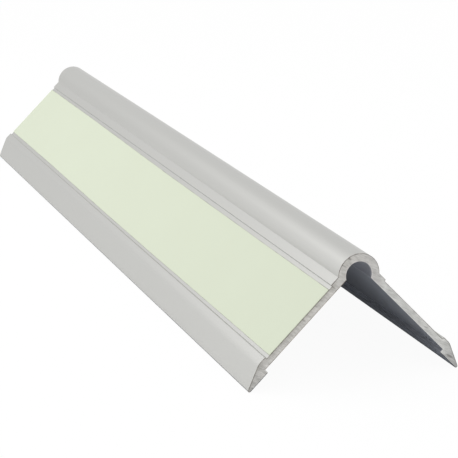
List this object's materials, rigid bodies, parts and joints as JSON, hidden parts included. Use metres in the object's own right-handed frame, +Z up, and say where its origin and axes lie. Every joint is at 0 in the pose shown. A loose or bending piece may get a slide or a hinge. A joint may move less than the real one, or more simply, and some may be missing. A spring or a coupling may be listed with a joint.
{
  "type": "corner guard",
  "caption": "Right-angled aluminium corner guard: a hollow round nose between lipped wings, with a pale luminous strip in one recess.",
  "frame": {"origin": "centre of the length and width, on the level that the two wing tips rest on", "axes": "+Z up through the nose, +Y along the length away from the end seen in the picture, +X towards the wing without a strip"},
  "size_m": [0.0662, 0.3, 0.038],
  "materials": {
    "anodised_aluminium": "satin, clear anodised",
    "luminous_film": "matt film with a faint grain"
  },
  "bodies": {
    "root": {"aluminium_profile": "anodised_aluminium", "luminous_strip": "luminous_film"}
  },
  "joints": []
}
